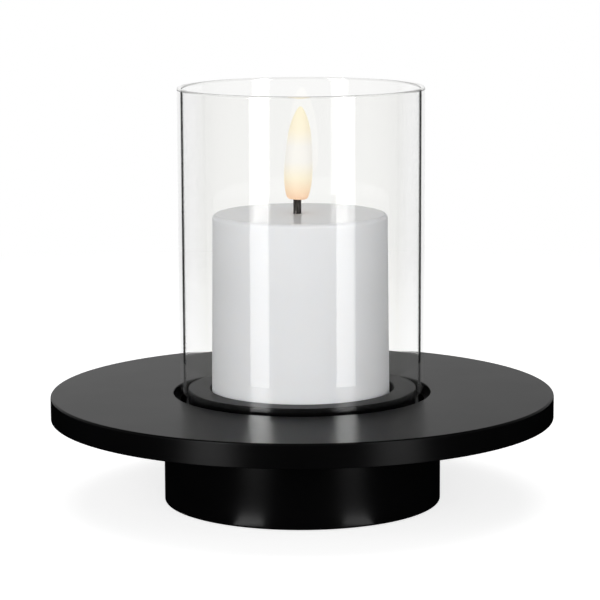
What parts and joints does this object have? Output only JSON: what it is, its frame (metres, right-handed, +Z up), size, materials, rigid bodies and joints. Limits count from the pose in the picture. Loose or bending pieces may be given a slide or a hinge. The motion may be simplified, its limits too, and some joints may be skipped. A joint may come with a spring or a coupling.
{
  "type": "led lantern",
  "caption": "Battery-powered flame-effect pillar candle inside a clear open-ended glass sleeve, on a wide round black plate with a drum foot.",
  "frame": {"origin": "on the ground under the middle of the foot, at the base of the felt pads", "axes": "+Z up through the candle, -Y towards the viewer of the picture, +X to the viewer's right"},
  "size_m": [0.212, 0.212, 0.1752],
  "materials": {
    "black_lacquer": "satin black lacquer",
    "clear_glass": "clear, polished",
    "wax": "smooth cool white wax, half gloss",
    "wick_black": "black ribbed sleeve",
    "flame_glow": "frosted warm diffuser, lit",
    "felt": "dark felt",
    "white_plastic": "moulded white plastic",
    "black_plastic": "moulded black plastic",
    "zinc_steel": "zinc-plated steel",
    "contact_metal": "nickel-plated spring steel",
    "circuit_green": "green solder mask",
    "cell_sleeve": "printed cell sleeve, plain",
    "lamp_resin": "clear warm resin",
    "red_wire": "red insulation",
    "black_wire": "black insulation"
  },
  "bodies": {
    "base": {"foot": "black_lacquer", "plate": "black_lacquer", "centring_ring": "black_lacquer", "felt_pad_1": "felt", "felt_pad_2": "felt", "felt_pad_3": "felt", "felt_pad_4": "felt", "base_screw_1": "zinc_steel", "base_screw_2": "zinc_steel", "base_screw_3": "zinc_steel", "base_screw_4": "zinc_steel"},
    "glass": {"glass_cylinder": "clear_glass"},
    "candle": {"wax_shell": "wax", "battery_tray": "white_plastic", "tray_cap": "white_plastic", "cap_screw_1": "zinc_steel", "cap_screw_2": "zinc_steel", "circuit_board": "circuit_green", "timer_chip": "black_plastic", "battery_1": "cell_sleeve", "battery_2": "cell_sleeve", "leaf_contact": "contact_metal", "spring_contact": "contact_metal", "contact_leg_1": "contact_metal", "contact_leg_2": "contact_metal", "slide_switch": "zinc_steel", "switch_lead_1": "red_wire", "switch_lead_2": "black_wire", "wick_stem": "wick_black", "led_lamp": "lamp_resin", "led_lead_1": "red_wire", "led_lead_2": "black_wire", "flame_bulb": "flame_glow"},
    "cover": {"battery_cover": "white_plastic", "bridge_contact": "contact_metal"},
    "knob": {"switch_knob": "black_plastic"}
  },
  "joints": [
    {"name": "glass_lift", "type": "slide", "parent": "base", "child": "glass", "axis": [0, 0, 1], "range_m": [0, 0.135]},
    {"name": "candle_lift", "type": "slide", "parent": "base", "child": "candle", "axis": [0, 0, 1], "range_m": [0, 0.14]},
    {"name": "battery_cover_turn", "type": "hinge", "parent": "candle", "child": "cover", "pos_m": [-0.0006, 0, 0.0437], "axis": [0, 0, -1], "range_deg": [0, 30]},
    {"name": "switch_slide", "type": "slide", "parent": "candle", "child": "knob", "axis": [1, 0, 0], "range_m": [-0.002, 0.002]}
  ]
}
